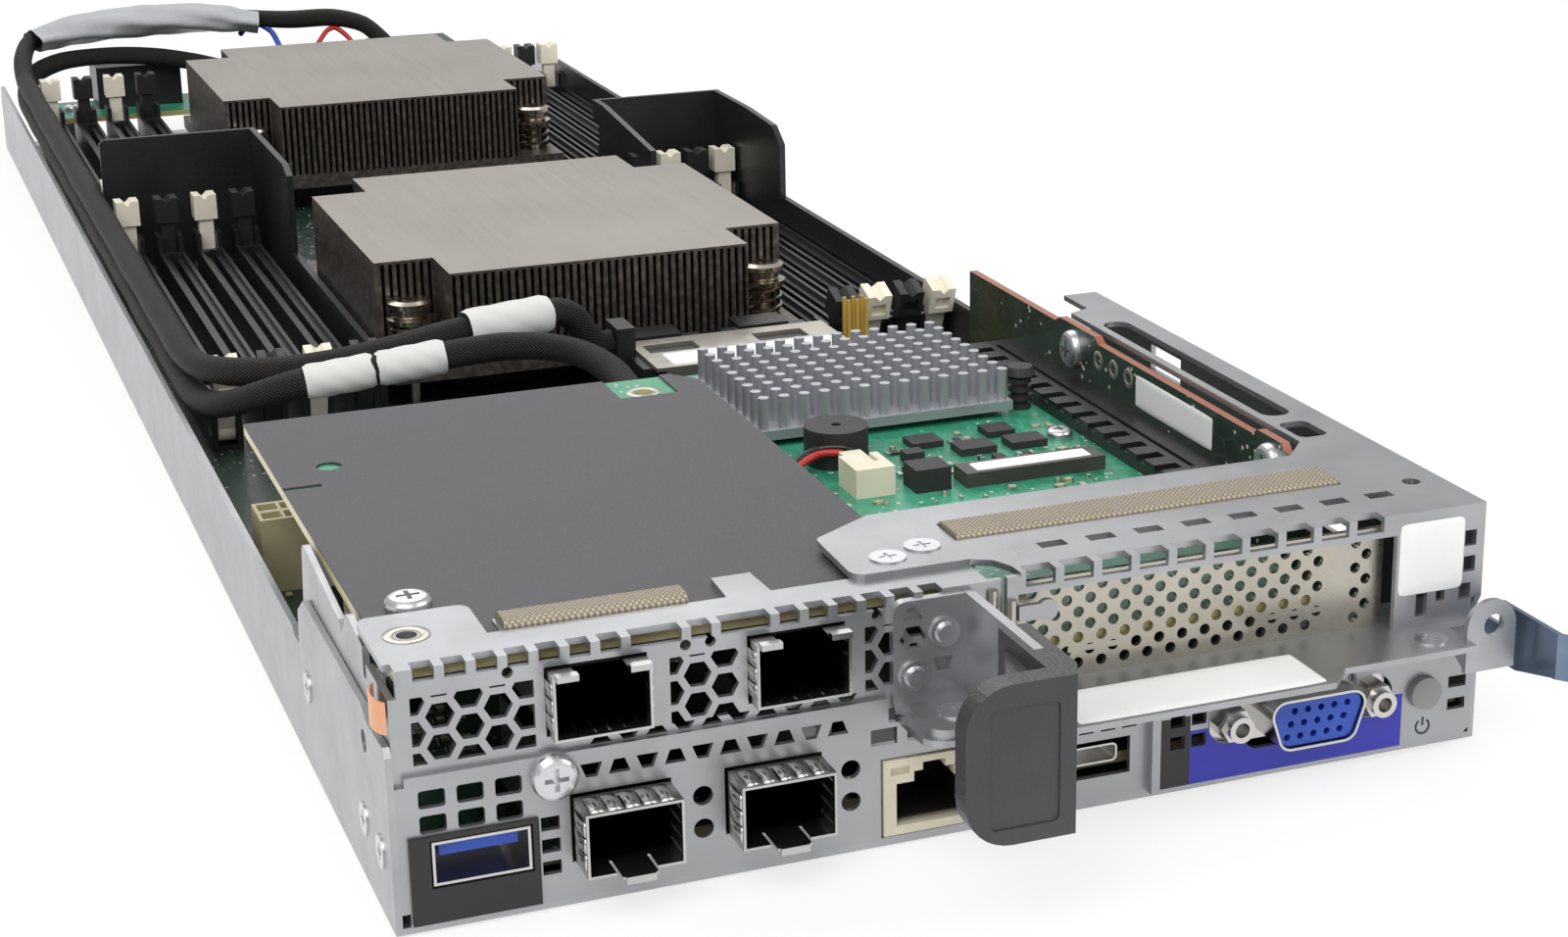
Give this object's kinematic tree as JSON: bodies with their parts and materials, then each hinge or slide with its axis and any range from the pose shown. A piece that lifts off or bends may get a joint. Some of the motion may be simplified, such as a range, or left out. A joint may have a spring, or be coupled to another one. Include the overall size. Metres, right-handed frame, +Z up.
{
  "type": "blade server",
  "caption": "Half-width server sled: sheet-metal tray with ports, pull handle and latch in front, two cooled processors between memory sockets, two cards and a rear connector board.",
  "frame": {"origin": "centre of the tray's flat underside", "axes": "+X right along the front panel, +Y from the front panel to the rear connectors, +Z up off the tray's floor"},
  "size_m": [0.1799, 0.6085, 0.0427],
  "materials": {
    "galvanised_steel": "satin zinc-coated sheet",
    "bright_steel": "bright nickel-plated steel",
    "blued_zinc": "blue passivated zinc",
    "bracket_nickel": "warm satin nickel",
    "black_plastic": "moulded black plastic",
    "handle_plastic": "fine-textured dark plastic",
    "ivory_plastic": "moulded ivory nylon",
    "tan_plastic": "moulded tan nylon",
    "blue_plastic": "moulded blue plastic",
    "gold_plastic": "gold pins in pale headers",
    "board_green": "green solder mask",
    "board_dark": "very dark green solder mask",
    "insulator_film": "dark grey insulating sheet",
    "cooler_metal": "nickel-plated fins and cap",
    "cast_aluminium": "plain satin aluminium",
    "gasket_fabric": "conductive woven fabric",
    "braid_fabric": "black braided sleeve",
    "white_tape": "white cloth tape",
    "copper": "bare copper alloy"
  },
  "bodies": {
    "sled": {"base_tray": "galvanised_steel", "io_panel": "galvanised_steel", "mezz_bracket": "galvanised_steel", "riser_cage": "galvanised_steel", "shelf_bracket": "galvanised_steel", "pcie_bracket": "bracket_nickel", "emi_gaskets": "gasket_fabric", "contact_finger": "copper", "handle_bracket": "galvanised_steel", "handle_grip": "handle_plastic", "handle_rivets": "blued_zinc", "latch_root": "blued_zinc", "case_screws": "bright_steel", "board_screws": "bright_steel", "motherboard": "board_dark", "mezz_card": "board_green", "mezz_insulator": "insulator_film", "mezz_connector": "black_plastic", "sfp_cages_lower": "bright_steel", "sfp_cages_upper": "bright_steel", "usb_port": "bright_steel", "usb_bezel": "black_plastic", "rj45_jack": "ivory_plastic", "micro_usb_port": "bright_steel", "vga_connector": "bright_steel", "port_inserts": "blue_plastic", "vga_jackscrews": "bright_steel", "button_switch": "black_plastic", "cpu_sockets": "black_plastic", "cpu_packages": "cast_aluminium", "cpu_cooler_front": "cooler_metal", "cpu_cooler_rear": "cooler_metal", "cooler_screws": "bright_steel", "cooler_springs": "bright_steel", "dimm_sockets_front": "black_plastic", "dimm_sockets_rear": "black_plastic", "air_baffle_left": "black_plastic", "air_baffle_right": "black_plastic", "riser_board": "board_dark", "riser_slot": "black_plastic", "riser_socket": "black_plastic", "raid_card": "board_green", "raid_heat_sink": "cast_aluminium", "card_connectors": "ivory_plastic", "chips": "black_plastic", "power_socket": "tan_plastic", "drive_ports": "black_plastic", "port_frame": "bracket_nickel", "pin_headers": "gold_plastic", "midplane_board": "board_green", "midplane_connectors": "black_plastic", "cable_loom": "braid_fabric", "cable_loom_front": "braid_fabric", "cable_sleeves": "white_tape"},
    "latch": {"release_latch": "blued_zinc"},
    "button": {"power_button": "handle_plastic"},
    "ejector_row_1": {"ejectors_1": "ivory_plastic"},
    "ejector_row_2": {"ejectors_2": "ivory_plastic"},
    "ejector_row_3": {"ejectors_3": "ivory_plastic"},
    "ejector_row_4": {"ejectors_4": "ivory_plastic"}
  },
  "joints": [
    {"name": "latch_flex", "type": "hinge", "parent": "sled", "child": "latch", "pos_m": [0.088, -0.2549, 0.0182], "axis": [0, 0, -1], "range_deg": [0, 2], "stiffness_Nm_per_rad": 0.4, "springref_deg": -4.58},
    {"name": "button_press", "type": "slide", "parent": "sled", "child": "button", "axis": [0, 1, 0], "range_m": [0, 0.0008], "stiffness_N_per_m": 400, "springref_m": -0.001},
    {"name": "ejector_row_1_pivot", "type": "hinge", "parent": "sled", "child": "ejector_row_1", "pos_m": [0, -0.07715, 0.0104], "axis": [1, 0, 0], "range_deg": [-22, 5]},
    {"name": "ejector_row_2_pivot", "type": "hinge", "parent": "sled", "child": "ejector_row_2", "pos_m": [0, 0.06565, 0.0104], "axis": [-1, 0, 0], "range_deg": [0, 27]},
    {"name": "ejector_row_3_pivot", "type": "hinge", "parent": "sled", "child": "ejector_row_3", "pos_m": [0, 0.09985, 0.0104], "axis": [1, 0, 0], "range_deg": [-22, 5]},
    {"name": "ejector_row_4_pivot", "type": "hinge", "parent": "sled", "child": "ejector_row_4", "pos_m": [0, 0.24265, 0.0104], "axis": [-1, 0, 0], "range_deg": [0, 27]}
  ]
}
